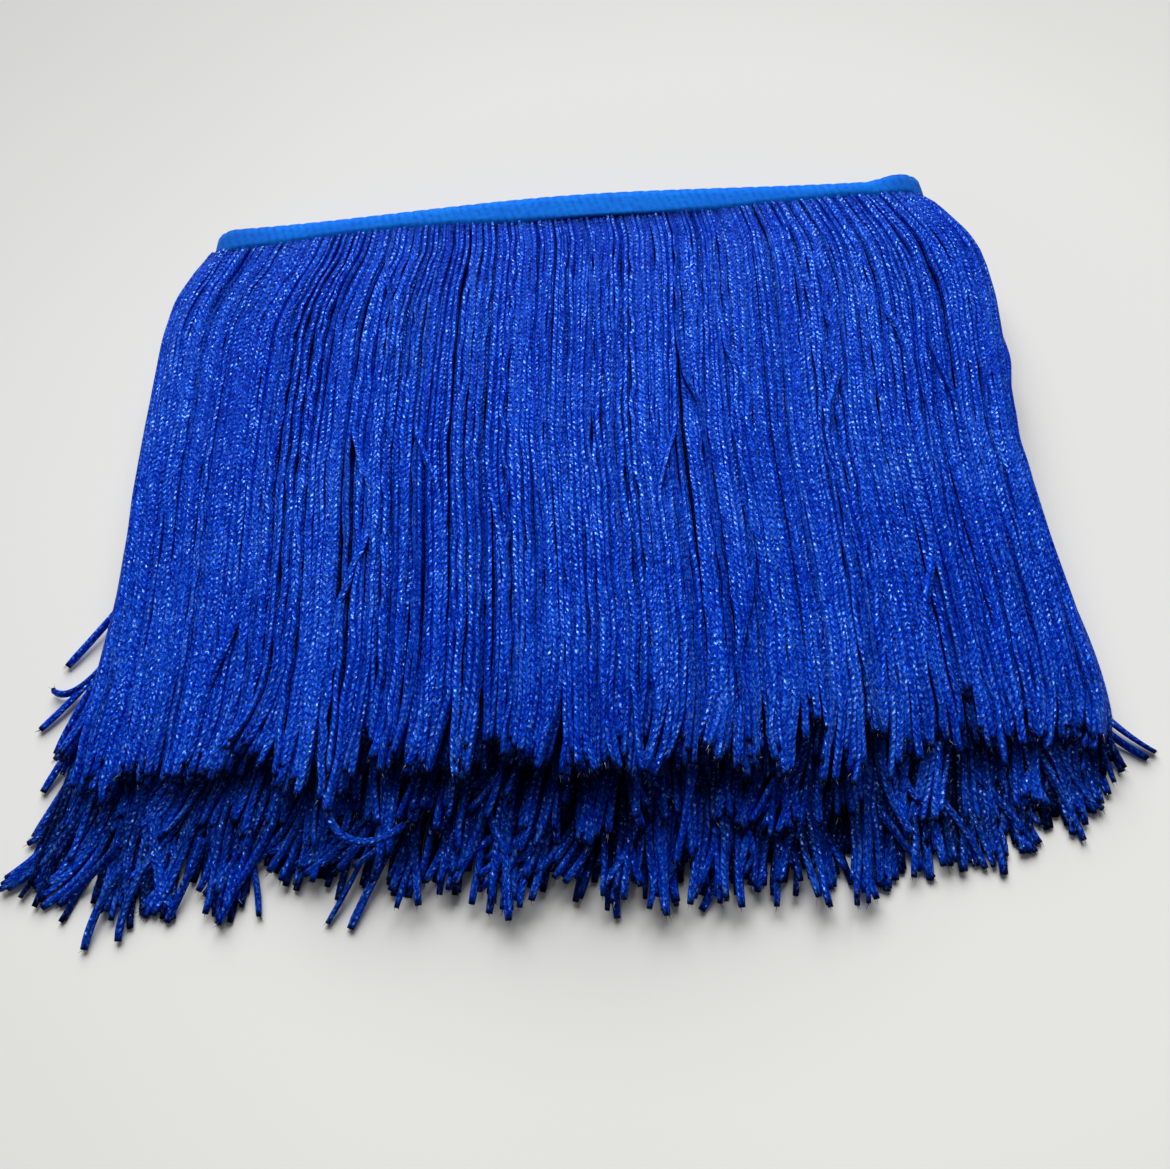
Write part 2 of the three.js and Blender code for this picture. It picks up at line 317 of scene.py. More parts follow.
def strand_material(name):
    """Looped chainette with foil in it: two columns of slanted stitches."""
    material, tree, shader = new_material(name)
    around, along = uv_axes(tree, "stitches")
    tone, to_cut, lit = (point_value(tree, value) for value in ("tone", "to_cut", "lit"))
    place = node(tree, "ShaderNodeTexCoord").outputs["Object"]

    off_groove = off_the_groove(tree, around)
    pull = noise(tree, place, 420.0, 1.0)
    slanted = weighted(tree, along, (off_groove, STITCH_SLANT), (pull, STITCH_PULL))
    swell = swells(tree, slanted, 1)
    plies = swells(tree, slanted, PLIES_PER_STITCH)
    groove = remap(tree, off_groove, 0.0, 0.35)
    edge = remap(tree, off_groove, 1.0, 0.75)
    loop = maths(tree, "MULTIPLY", maths(tree, "MULTIPLY", swell, groove), edge)
    chance = chance_of_stitch(tree, slanted, around, tone)
    fleck = fine_flecks(tree, place)
    # foil: metallic threads in the yarn; in the colour they also carry a painted glint
    foil = maths(tree, "GREATER_THAN", fleck[0], 1 - FOIL_SHARE)
    cloud = noise(tree, place, 26.0, 2.0)

    # painted shade between stitches and a painted glint on foil, over the yarn's random tone
    gleam = weighted(
        tree,
        GLEAM["base"],
        (loop, GLEAM["loop"]),
        (plies, GLEAM["plies"]),
        (fleck[1], GLEAM["fleck"]),
        (chance, GLEAM["stitch"]),
        (tone, GLEAM["strand"]),
        (maths(tree, "MULTIPLY", foil, loop), GLEAM["foil"]),
        (remap(tree, cloud, 0.35, 0.65), GLEAM["cloud"]),
    )
    colour = ramp(tree, gleam, YARN_COLOURS)
    # painted shade from lit, which foil flecks partly escape, so that their painted glint shows
    # even where little light comes
    shown = maths(tree, "POWER", lit, weighted(tree, 1.0, (foil, -0.6)))
    colour = mix_colour(tree, shown, PAINTED_SHADE_AND_CUT_END_COLOUR, colour)
    # darker over the last mm before a cut end: painted shade where the strand curves down, and its
    # dark frayed fibres
    colour = mix_colour(tree, remap(tree, to_cut, -0.4, 2.2), PAINTED_SHADE_AND_CUT_END_COLOUR, colour)
    tree.links.new(colour, shader.inputs["Base Color"])

    relief(tree, shader, weighted(tree, 0.0, (loop, 0.8), (plies, 0.15), (fleck[2], 0.45)), 0.9)
    shader.inputs["Specular IOR Level"].default_value = 0.05
    shader.inputs["Specular Tint"].default_value = (0.05, 0.35, 1, 1)
    metal = weighted(tree, 0.12, (foil, 0.42))
    tree.links.new(metal, shader.inputs["Metallic"])
    rough = weighted(tree, 0.45, (foil, -0.15))
    tree.links.new(rough, shader.inputs["Roughness"])
    return material


PICK_PITCH = 0.78
END_PITCH = 0.95
RIB_SLANT = 0.3
WEAVE_COLOURS = ((0.0, 0.075, 0.57), (0.001, 0.19, 0.95))
RIB_COLOUR = (0.003, 0.225, 1.0)
PATCH_COLOUR = (0.006, 0.27, 1.0)
CLOUD_COLOUR = (0.001, 0.12, 0.8)
SHADED_COLOUR = (0.0, 0.02, 0.2)


def heading_material():
    """Woven band: crosswise ribs of weft over a fine lengthwise warp."""
    material, tree, shader = new_material("heading_weave")
    across, along = uv_axes(tree, "weave")
    place = node(tree, "ShaderNodeTexCoord").outputs["Object"]

    picks = maths(tree, "SINE", maths(tree, "MULTIPLY", along, 2 * math.pi / PICK_PITCH))
    ends = maths(tree, "SINE", maths(tree, "MULTIPLY", across, 2 * math.pi / END_PITCH))
    over = maths(tree, "MULTIPLY", picks, ends)
    slanted = weighted(tree, along, (across, RIB_SLANT))
    ribs = maths(tree, "SINE", maths(tree, "MULTIPLY", slanted, 2 * math.pi / RIB_PITCH))
    rib = remap(tree, ribs, -0.9, 0.4)
    fuzz = noise(tree, place, 2200.0, 3.0)
    cloud = noise(tree, place, 60.0, 2.0)
    patch = noise(tree, place, 620.0, 2.0)
    weave = remap(tree, over, -0.8, 0.7)

    colour = mix_colour(tree, weave, *WEAVE_COLOURS)
    colour = mix_colour(tree, maths(tree, "MULTIPLY", rib, 0.55), colour, RIB_COLOUR)
    spot = maths(tree, "MULTIPLY", remap(tree, patch, 0.4, 0.62), 0.55)
    colour = mix_colour(tree, spot, colour, PATCH_COLOUR)
    tint = maths(tree, "MULTIPLY", remap(tree, cloud, 0.35, 0.65), 0.3)
    colour = mix_colour(tree, tint, colour, CLOUD_COLOUR)
    colour = mix_colour(tree, point_value(tree, "lit"), SHADED_COLOUR, colour)
    tree.links.new(colour, shader.inputs["Base Color"])
    relief(tree, shader, weighted(tree, weave, (fuzz, 0.8)), 0.8)
    shader.inputs["Roughness"].default_value = 0.6
    shader.inputs["Specular IOR Level"].default_value = 0.06
    shader.inputs["Specular Tint"].default_value = (0.1, 0.4, 1, 1)
    return material


PALE_FIBRES = 0.14  # the share of frayed fibres that catch the light
FIBRE_COLOURS = ((0.004, 0.02, 0.14), (0.35, 0.42, 0.6))


def fibre_material():
    material, tree, shader = new_material("frayed_fibre")
    pale = maths(tree, "GREATER_THAN", point_value(tree, "tone"), 1 - PALE_FIBRES)
    colour = mix_colour(tree, pale, *FIBRE_COLOURS)
    tree.links.new(colour, shader.inputs["Base Color"])
    shader.inputs["Roughness"].default_value = 0.45
    return material


FLOOR_MIDDLE = (0.05, -0.1, 0)  # in metres, where the painted pool of light on the floor is brightest
FLOOR_COLOURS = ((0.785, 0.785, 0.77), (0.60, 0.60, 0.59))


def floor_material():
    """Matt pale board with a painted pool of light that gets darker away from the pack."""
    material, tree, shader = new_material("pale_floor")
    place = node(tree, "ShaderNodeTexCoord").outputs["Object"]
    away = node(tree, "ShaderNodeVectorMath", {0: place, 1: FLOOR_MIDDLE}, operation="DISTANCE")
    cloud = noise(tree, place, 5.0, 1.0)
    # painted falloff of light away from FLOOR_MIDDLE, a little uneven
    dark = weighted(tree, -0.85, (away.outputs["Value"], 3.4), (cloud, 0.2))
    dark = maths(tree, "ADD", dark, 0.0, clamp=True)
    colour = mix_colour(tree, dark, *FLOOR_COLOURS)
    tree.links.new(colour, shader.inputs["Base Color"])
    shader.inputs["Roughness"].default_value = 0.9
    shader.inputs["Specular IOR Level"].default_value = 0.2
    return material


# The shape of the pile


def pile_table():
    """The pile's rows, filled in at every step forward and smoothed."""
    rows = np.array(PILE_ROWS)
    forward = np.arange(rows[0, 0], rows[-1, 0] + PILE_BEYOND, PILE_STEP)
    kernel = np.hanning(2 * PILE_SMOOTHING + 3)[1:-1]
    kernel /= kernel.sum()
    table = {"forward": forward}
    for column, name in enumerate(PILE_COLUMNS[1:], 1):
        values = np.interp(forward, rows[:, 0], rows[:, column])
        padded = np.pad(values, PILE_SMOOTHING, mode="edge")
        table[name] = np.convolve(padded, kernel, mode="valid")
    return table


PILE = pile_table()


def pile_at(name, forward):
    return np.interp(forward, PILE["forward"], PILE[name])


def setback(x, z):
    """How far back the heading sits at a place in its section."""
    corner = np.clip((x - CORNER * BEND_START) / (BEND_START * (1 - CORNER)), 0, 1)
    return LEAN * z + CORNER_SETBACK * corner + SKEW * x


def arch_half(forward, depth):
    """Half the length of the arch that a layer follows over the pile."""
    end_height = pile_at("end_height", forward)
    run = pile_at("half_width", forward) - end_height / 2
    return run + math.pi / 2 * (0.5 - depth) * end_height


def on_pile(place, forward, depth, upper):
    """Points of a layer of the pile and the way out of the pile there.

    place runs over the layer's arch from its middle, and depth is the share of the pile's
    height that lies outside the layer, up to a half.
    """
    end_height = pile_at("end_height", forward)
    run = pile_at("half_width", forward) - end_height / 2
    radius = (0.5 - depth) * end_height
    x = np.minimum(np.abs(place), run)
    middle_height = pile_at("middle_height", forward)
    height = middle_height + (end_height - middle_height) * smoothstep(x / run, 0, 1)
    bend = np.maximum(np.abs(place) - run, 0) / radius
    way = 1 if upper else -1
    side = np.sign(place)
    bend_z = height * ((1 - depth) if upper else depth) - way * radius
    points = np.stack(
        (
            pile_at("centre", forward) + side * (x + radius * np.sin(bend)),
            -forward,
            bend_z + way * radius * np.cos(bend),
        ),
        axis=-1,
    )
    outwards = np.stack(
        (side * np.sin(bend), np.zeros_like(bend), way * np.cos(bend)),
        axis=-1,
    )
    return points, outwards


# Meshes


def mesh_object(name, points, faces, face_sizes, material):
    """A mesh object from points in millimetres and faces as one flat list of corners."""
    mesh = bpy.data.meshes.new(name)
    mesh.vertices.add(len(points))
    mesh.vertices.foreach_set("co", (points * MM).astype(np.float32).ravel())
    mesh.loops.add(len(faces))
    mesh.loops.foreach_set("vertex_index", faces.astype(np.int32))
    mesh.polygons.add(len(face_sizes))
    starts = np.concatenate(((0,), np.cumsum(face_sizes)[:-1])).astype(np.int32)
    mesh.polygons.foreach_set("loop_start", starts)
    mesh.update(calc_edges=True)
    mesh.polygons.foreach_set("use_smooth", np.ones(len(face_sizes), bool))
    mesh.materials.append(material)
    made = bpy.data.objects.new(name, mesh)
    bpy.context.scene.collection.objects.link(made)
    return made


def point_values(made, name, values):
    attribute = made.data.attributes.new(name, "FLOAT", "POINT")
    attribute.data.foreach_set("value", values.astype(np.float32).ravel())


def tube_faces(count, rings, corners):
    """Quads around every tube and a cap at each of its two ends."""
    tube = np.arange(count)[:, None, None] * rings * corners
    ring = np.arange(rings - 1)[None, :, None] * corners
    corner = np.arange(corners)[None, None, :]
    following = (corner + 1) % corners
    a = tube + ring + corner
    b = tube + ring + following
    quads = np.stack((a, b, b + corners, a + corners), axis=-1).reshape(-1)
    first = (tube[:, 0] + np.arange(corners)[::-1][None, :]).reshape(-1)
    last = (tube[:, 0] + (rings - 1) * corners + np.arange(corners)[None, :]).reshape(-1)
    sizes = np.concatenate(
        (
            np.full(count * (rings - 1) * corners, 4),
            np.full(2 * count, corners),
        )
    )
    return np.concatenate((quads, first, last)), sizes


def add_uvs(made, name, quads, caps):
    flat = np.concatenate((quads.reshape(-1), caps.reshape(-1)))
    layer = made.data.uv_layers.new(name=name)
    layer.data.foreach_set("uv", flat.astype(np.float32))


def stitch_uvs(made, along, corners):
    """u once around a tube, and v in stitches along it."""
    count, rings = along.shape
    u = np.arange(corners) / corners
    low, high = along[:, :-1, None], along[:, 1:, None]
    quads = np.zeros((count, rings - 1, corners, 4, 2))
    quads[..., 0, 0] = quads[..., 3, 0] = u
    quads[..., 1, 0] = quads[..., 2, 0] = u + 1 / corners
    quads[..., 0, 1] = quads[..., 1, 1] = low
    quads[..., 2, 1] = quads[..., 3, 1] = high
    add_uvs(made, "stitches", quads, np.zeros((2 * count, corners, 2)))


GROOVED_CORNERS = 8
LOBE_SIZE = 1.12
GROOVE_SIZE = 0.72
TWIST = 0.6  # how unevenly strands are turned, in radians
TWIST_LENGTH = 45
SIZE_RANGE = (0.92, 1.08)
TAPER_LENGTH = 4
LOWEST = 0.02


def strand_section(corners):
    """A strand's section, with a groove between its two columns of loops if it can show one."""
    angles = np.arange(corners) / corners * 2 * math.pi
    section = np.stack((np.cos(angles), np.sin(angles)), axis=-1) / 2
    if corners == GROOVED_CORNERS:
        lobes = np.abs(np.sin(2 * angles)) > 0.5
        grooves = np.abs(np.sin(angles)) > 0.9
        section[lobes] *= LOBE_SIZE
        section[grooves] *= GROOVE_SIZE
    return section


YARN = strand_material("chainette_yarn")
CUT_ENDS = []  # each strand set's cut ends and the ways that they point


def strands_object(name, lines, outwards, lit, corners, rng):
    """One mesh of the tubes along lines[strand, ring], darker where lit is low."""
    count, rings = lines.shape[:2]
    ahead = unit(np.gradient(lines, axis=1))
    side = unit(np.cross(ahead, outwards))
    up = np.cross(side, ahead)
    steps = np.linalg.norm(np.diff(lines, axis=1), axis=-1)
    length = np.concatenate((np.zeros((count, 1)), np.cumsum(steps, axis=1)), axis=1)
    to_cut = length[:, -1:] - length
    turn = rng.normal(0, TWIST, (count, 1))
    sway = rng.normal(0, TWIST, (count, 1))
    turn = turn + sway * np.sin(length / TWIST_LENGTH + rng.uniform(0, 6, (count, 1)))
    turned_side = side * np.cos(turn)[..., None] + up * np.sin(turn)[..., None]
    turned_up = up * np.cos(turn)[..., None] - side * np.sin(turn)[..., None]
    taper = END_SIZE + (1 - END_SIZE) * smoothstep(to_cut, 0, TAPER_LENGTH)
    size = rng.uniform(*SIZE_RANGE, (count, 1)) * taper
    section = strand_section(corners)
    width = (size * STRAND_WIDTH)[..., None, None]
    thickness = (size * STRAND_THICKNESS)[..., None, None]
    points = (
        lines[:, :, None]
        + turned_side[:, :, None] * section[:, 0][None, None, :, None] * width
        + turned_up[:, :, None] * section[:, 1][None, None, :, None] * thickness
    )
    points[..., 2] = np.maximum(points[..., 2], LOWEST)
    faces, face_sizes = tube_faces(count, rings, corners)
    made = mesh_object(name, points.reshape(-1, 3), faces, face_sizes, YARN)
    stitch_uvs(made, length / STITCH_LENGTH + rng.uniform(0, 9, (count, 1)), corners)
    point_values(made, "tone", np.repeat(rng.uniform(0, 1, count), rings * corners))
    point_values(made, "to_cut", np.repeat(to_cut.reshape(-1), corners))
    point_values(made, "lit", np.repeat(lit.reshape(-1), corners))
    return made


def keep_cut_ends(lines):
    CUT_ENDS.append((lines[:, -1], unit(lines[:, -1] - lines[:, -2])))


# Strands of the pile

# How the cut ends of each step in the pile's front lie. Lengths are in millimetres: reach is how
# far forward the ends lie, and line is what is added to it at each of LINE_X. Loose is the part
# that may turn, bundle is the range of a bundle's width, uneven and scatter are what bundles and
# single strands differ by, and pits are the share of bundles that stay behind and how far they
# do. The ends droop and dip by those lengths.
# The angles in degrees are lean at each of LINE_X, drift along the front, clump from bundle to
# bundle, own from strand to strand and splay at its left and right ends. gather is the share by
# which a bundle closes up, and above is the step that hides the start of this one.
LINE_X = (-150, -106, -60, 0, 74, 100, 128, 150)
STEPS = {
    "top": dict(
        reach=226,
        line=(-5, -9, 0, 3, 1, -6, -5, -5),
        lean=(-2, -3, -2, 0, 1, 1, 1, 1),
        bundle=(3, 10),
        uneven=3.5,
        scatter=2.6,
        pits=(0.16, 3, 10),
        loose=28,
        drift=5,
        clump=6,
        own=5,
        splay=(8, 5),
        gather=0.2,
        droop=3.0,
        dip=0.0,
        above=None,
    ),
    "middle": dict(
        reach=240,
        line=(-3, -2, 0, 1, 2, 1, -3, -9),
        lean=(-6, -10, -13, -8, 1, 3, 0, 2),
        bundle=(3, 9),
        uneven=3.0,
        scatter=2.8,
        pits=(0.25, 5, 15),
        loose=34,
        drift=8,
        clump=10,
        own=10,
        splay=(14, 9),
        gather=0.4,
        droop=4.0,
        dip=2.0,
        above="top",
    ),
    "bottom": dict(
        reach=261,
        line=(0, -3, -7, 1, 0, -4, -12, -26),
        lean=(-8, -16, -24, -20, -6, 1, 4, 6),
        bundle=(3, 8),
        uneven=2.2,
        scatter=2.3,
        pits=(0.2, 4, 11),
        loose=42,
        drift=10,
        clump=10,
        own=13,
        splay=(14, 8),
        gather=0.4,
        droop=2.6,
        dip=0.3,
        above="middle",
    ),
}
ROOT_FORWARD = -8
ROOT_DROP = 0.9  # a strand starts this much lower than the pile's face
# Where the heading's front edge dips under the strands, and by how much they cover it.
COVER_X = (-145, -118, -93, -68, -44, -20, 5, 30, 55, 80, 105, 118, 130)
COVER = (0.8, 3.2, 4.8, 5.0, 3.6, 1.2, 0.0, 0.2, 1.6, 4.2, 6.2, 6.4, 3.0)
COVER_DIP = 2.4
COVER_DEPTH = 0.05  # only strands that lie less deep than this cover it
# How far the strands fan out sideways just in front of the heading, by their place along it.
FAN_X = (-142, -122, -98, -66, -24, 50, 88, 118, 142)
FAN = (0, -7, -12, -8, 0, 0, 4, 6, 0)
FAN_RANGE = (-4, 52)  # where forward of the origin they fan out

# How strands rise out of the heading: from RISE_START in front of their start to RISE_END,
# which comes sooner by RISE_COVER for every mm that the strands cover, down to RISE_END_LEAST.
RISE_START = 1.5
RISE_END = 16
RISE_END_LEAST = 7
RISE_COVER = 3

# Small bends and unevenness. A bend's length is drawn from its range, and its size is a spread.
BENDS = ((9, 18, 0.14), (18, 40, 0.27), (50, 120, 0.28))
BENDS_RANGE = (1, 32)  # where forward of the origin they come in
UNEVEN_HEIGHT = 0.3
CROSS_START = (6, 175)
CROSS_SHIFT = (4, 11)
CROSS_LENGTH = 38
CROSS_LIFT = 1.2  # above its neighbours, halfway across them
CROSS_REST = 0.5  # above its neighbours, past them
MOST_ANGLE = 42
FLOOR_SHARPNESS = 1.5  # how soon a strand that comes down to the floor bends level

# How much light comes to a strand, as shares.
ROOT_LIT = 0.48
ROOT_LIT_COVER = 0.04  # more for every mm that the strands cover
ROOT_SHADE = 9
UNDER_LIT = 0.1
UNDER_LIT_OPEN = 0.5  # more under a bundle that droops most
UNDER_LIT_LEFT = 0.3  # more at the pile's left end
LEFT_SHARES = (0.5, 0.8)
UNDER_SHADE = 13
SIDE_SHARES = (0.86, 0.95)
SIDE_FRONT = (195, 228)


def spread(share, forward, depth):
    """A strand's place over the arch: the strands at the pile's ends take up its widening."""
    root_half = arch_half(ROOT_FORWARD, depth)
    widening = (arch_half(forward, depth) - root_half) * np.abs(share) ** 1.5
    fan = np.interp(share * PACK_LENGTH / 2, FAN_X, FAN) * smoothstep(forward, *FAN_RANGE)
    return share * (root_half + widening) + fan


BUNDLE_COUNT = 90  # enough to pass the pile's right end
BUNDLES_FROM = -1.1
# How many waves there are, the ranges of their lengths across and along, and their size.
DRIFT_WAVES = (4, (0.2, 0.7), (1, 2), 1.6)
CLUMP_WAVES = (9, (6, 16), (110, 400), 0.009)


def make_bundles(rng, step):
    """The bundles that a step's cut ends lie in: edges as shares, and each one's own ways."""
    widths = rng.uniform(*step["bundle"], BUNDLE_COUNT)
    edges = np.cumsum(widths) / (PACK_LENGTH / 2) + BUNDLES_FROM
    middles = np.concatenate((edges[:1], (edges[1:] + edges[:-1]) / 2, edges[-1:]))
    count = len(middles)
    drift = waves(rng, *DRIFT_WAVES)(middles, np.zeros(count))
    lean = np.interp(middles * PACK_LENGTH / 2, LINE_X, step["lean"])
    return dict(
        middles=middles,
        edges=edges,
        reach=rng.normal(0, step["uneven"], count),
        pit=(rng.random(count) < step["pits"][0]) * rng.uniform(*step["pits"][1:], count),
        angle=lean + step["drift"] * drift + rng.normal(0, step["clump"], count),
        droop=rng.uniform(0, 1, count),
    )


BUNDLES = {name: make_bundles(rng_for(2 + n), step) for n, (name, step) in enumerate(STEPS.items())}


def bundle_of(name, share):
    return np.searchsorted(BUNDLES[name]["edges"], share)


def reach_at(name, share, pits=1):
    """How far forward the strands of a step's front reach, bundle by bundle."""
    number = bundle_of(name, share)
    line = np.interp(share * PACK_LENGTH / 2, LINE_X, STEPS[name]["line"])
    own = BUNDLES[name]["reach"][number] - pits * BUNDLES[name]["pit"][number]
    return STEPS[name]["reach"] + line + own


def layer_lines(
    rng, shares, stations, depth, upper, name, short=0, freedom=1, shown=1.0, crossing=0
):
    """The middle lines of one layer's strands, the way out of the pile and how lit they are.

    short is how far its cut ends stay behind those of its step, freedom how much they stray and
    shown how much light comes to them in the pile's front.
    """
    step = STEPS[name]
    count = len(shares)
    share = shares[:, None]
    root_place = spread(share, ROOT_FORWARD, depth)
    root, _ = on_pile(root_place, np.full((count, 1), float(ROOT_FORWARD)), depth, upper)
    covers = upper and depth < COVER_DEPTH
    cover = np.interp(root[..., 0], COVER_X, COVER) if covers else 0
    start = TAPE_WIDTH / 2 - ROOT_TUCK - cover - setback(root[..., 0], root[..., 2])
    reach = reach_at(name, share) - short + rng.normal(0, step["scatter"], (count, 1))
    forward = start + (reach - start) * stations[None, :]
    freed = smoothstep(forward, *BENDS_RANGE)
    place = spread(share, forward, depth)
    place = place + CLUMPS(place, forward) * freed
    place = place + wander(rng, forward) * freed
    crossers = rng.choice(count, crossing, replace=False)
    place[crossers], over = cross_over(rng, place[crossers], forward[crossers])
    middles = spread(BUNDLES[name]["middles"][bundle_of(name, share)], forward, depth)
    gone = np.clip((forward - (reach - step["loose"])) / step["loose"], 0, 1.3)
    place = place + (middles - place) * step["gather"] * smoothstep(gone, 0, 1)

    points, outwards = on_pile(place, forward, depth, upper)
    height = rng.normal(0, UNEVEN_HEIGHT, (count, 1)) * freed
    height[crossers] += over
    from_root = forward - start
    rise_end = np.maximum(RISE_END - RISE_COVER * cover, RISE_END_LEAST)
    risen = smoothstep(from_root, RISE_START, rise_end)
    height = height - (ROOT_DROP * (1 - risen) if upper else 0)
    points = points + outwards * height[..., None]
    loosen(points, rng, share, gone, name, freedom)
    least = ROOT_LIT + ROOT_LIT_COVER * cover
    lit = least + (1 - least) * smoothstep(from_root, ROOT_TUCK, ROOT_TUCK + ROOT_SHADE)
    return points, outwards, lit * light_in_pile(share, forward, name, shown)


def light_in_pile(share, forward, name, shown):
    """How lit strands are by their place in the pile.

    The step above shades the ones that it covers, but the pile's sides are open.
    """
    above = STEPS[name]["above"]
    shade = np.full_like(forward, shown)
    if above:
        hidden_to = reach_at(above, share, pits=0.3)
        open_to_light = BUNDLES[above]["droop"][bundle_of(above, share)]
        left = smoothstep(-share, *LEFT_SHARES)
        least = UNDER_LIT + UNDER_LIT_OPEN * open_to_light**2 + UNDER_LIT_LEFT * left
        shade *= least + (1 - least) * smoothstep(forward, hidden_to, hidden_to + UNDER_SHADE)
    at_side = smoothstep(np.abs(share), *SIDE_SHARES) * (1 - smoothstep(forward, *SIDE_FRONT))
    return np.maximum(shade, at_side)


def wander(rng, forward):
    """Small bends that each strand has of its own."""
    count = len(forward)
    total = np.zeros_like(forward)
    for low, high, size in BENDS:
        turns = forward / rng.uniform(low, high, (count, 1)) + rng.uniform(0, 1, (count, 1))
        total += size * rng.normal(0, 1, (count, 1)) * np.sin(2 * math.pi * turns)
    return total


def cross_over(rng, place, forward):
    """Lays a few strands across their neighbours."""
    count = len(place)
    start = rng.uniform(*CROSS_START, (count, 1))
    shift = rng.uniform(*CROSS_SHIFT, (count, 1)) * rng.choice((-1, 1), (count, 1))
    across = smoothstep(forward, start, start + CROSS_LENGTH)
    lift = CROSS_LIFT * np.sin(math.pi * across) + CROSS_REST * across
    return place + shift * across, lift


def loosen(points, rng, share, gone, name, freedom):
    """Lets the cut ends point their own ways and droop."""
    step, bundles = STEPS[name], BUNDLES[name]
    number = bundle_of(name, share)
    count = len(share)
    splay = np.where(share < 0, *step["splay"]) * np.sign(share) * np.abs(share) ** 5
    angle = bundles["angle"][number] + splay + rng.normal(0, step["own"], (count, 1))
    slope = np.tan(np.radians(np.clip(angle * freedom, -MOST_ANGLE, MOST_ANGLE)))
    points[..., 0] += step["loose"] * slope * gone**2 / 2
    points[..., 1] += step["loose"] * (1 - np.cos(np.arctan(slope))) * gone**2
    droop = step["droop"] * (bundles["droop"][number] + rng.uniform(0, 0.6, (count, 1)))
    points[..., 2] -= droop * gone**1.5 + step["dip"] * smoothstep(gone, 0, 0.8)
    floor = STRAND_THICKNESS / 2
    above_floor = (points[..., 2] - floor) * FLOOR_SHARPNESS
    points[..., 2] = floor + np.logaddexp(0, above_floor) / FLOOR_SHARPNESS


END_CLOSING = 0.06  # how much closer strands lie at a layer's ends


def even_shares(rng, count, jitter=0.3):
    """Places from -1 to 1 along a layer, a little uneven and closer at its ends."""
    steps = (np.arange(count) + 0.5 + rng.uniform(-jitter, jitter, count)) / count
    share = 2 * steps - 1
    return share * (1 + END_CLOSING - END_CLOSING * share**2)


def tip_stations(hidden, shown, split):
    """Shares of a strand's length: few where it is hidden, many near its cut end."""
    return np.concatenate(
        (
            np.linspace(0, split, hidden, endpoint=False),
            np.linspace(split, 1, shown),
        )
    )


def depth_of(turn):
    return (turn + 0.5) / (2 * TURNS)


CLUMPS = waves(rng_for(1), *CLUMP_WAVES)


def finish_strands(made, *nodes):
    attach(made, "root")
    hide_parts(*nodes)


FACE_STRANDS = 130
FACE_JITTER = 0.26
FACE_CROSSERS = 15
# Where the rings of a face strand lie, as shares of its length.
ROOT_PART = 0.12
ROOT_RINGS = 12
TIP_PART = 0.975
MIDDLE_RINGS = 56
TIP_RINGS = (0.985, 0.993, 1)


def face_strands():
    """The outermost layer above the pile, at full detail."""
    rng = rng_for(10)
    shares = even_shares(rng, FACE_STRANDS, FACE_JITTER)
    near_root = np.linspace(0, ROOT_PART, ROOT_RINGS, endpoint=False)
    middle = np.linspace(ROOT_PART, TIP_PART, MIDDLE_RINGS)
    stations = np.concatenate((near_root, middle, TIP_RINGS))
    place = (depth_of(0), True, "top")
    lines, outwards, lit = layer_lines(rng, shares, stations, *place, crossing=FACE_CROSSERS)
    made = strands_object("strands_face", lines, outwards, lit, GROOVED_CORNERS, rng)
    keep_cut_ends(lines)
    finish_strands(made, "outer_fringe_upper")


# Layers under the face, from the top of the pile down. Each layer is its turn of the winding,
# its number of strands, and how far they stay behind the step's cut ends. A strand has hidden
# rings up to the share split of its length and shown rings past it. lit is how much light comes
# to the strands in the pile's front, and freedom how much they stray.
LAYER_SETS = (
    dict(name="strands_outer_upper", node="outer_fringe_upper", upper=True, step="top",
         layers=((0.5, 136, 0), (1.4, 124, 0)), corners=6, hidden=16, shown=18, split=0.7,
         lit=1.0, freedom=1, frayed=True),
    dict(name="strands_middle_upper", node="middle_fringe_upper", upper=True, step="top",
         layers=((2.8, 96, 2), (3.8, 96, 4), (4.8, 96, 6)), corners=5, hidden=7, shown=16,
         split=0.8, lit=0.3, freedom=0.5, frayed=False),
    dict(name="strands_inner_upper", node="inner_fringe_upper", upper=True, step="middle",
         layers=((5.6, 104, 0), (6.3, 104, 0), (7, 96, 2)), corners=6, hidden=6, shown=24,
         split=0.78, lit=1.0, freedom=1, frayed=True),
    dict(name="strands_inner_lower", node="inner_fringe_lower", upper=False, step="middle",
         layers=((7, 96, 3), (6.2, 96, 5)), corners=5, hidden=6, shown=16, split=0.8, lit=0.25,
         freedom=0.5, frayed=False),
    dict(name="strands_middle_lower", node="middle_fringe_lower", upper=False, step="bottom",
         layers=((5.4, 104, 0), (4.6, 104, 0), (3.8, 96, 2)), corners=6, hidden=6, shown=24,
         split=0.75, lit=0.85, freedom=1, frayed=True),
    dict(name="strands_outer_lower", node="outer_fringe_lower", upper=False, step="bottom",
         layers=((3, 96, 2), (2, 96, 4), (1, 96, 7), (0.1, 112, 10)), corners=5, hidden=10,
         shown=16, split=0.75, lit=0.2, freedom=0.4, frayed=False),
)


def layer_set(row, number):
    rng = rng_for(20 + number)
    stations = tip_stations(row["hidden"], row["shown"], row["split"])
    parts = []
    for turn, count, short in row["layers"]:
        shares = even_shares(rng, count)
        place = (depth_of(turn), row["upper"], row["step"])
        parts.append(
            layer_lines(rng, shares, stations, *place, short, row["freedom"], row["lit"])
        )
    lines, outwards, lit = (np.concatenate(values) for values in zip(*parts))
    made = strands_object(row["name"], lines, outwards, lit, row["corners"], rng)
    if row["frayed"]:
        keep_cut_ends(lines)
    finish_strands(made, row["node"])


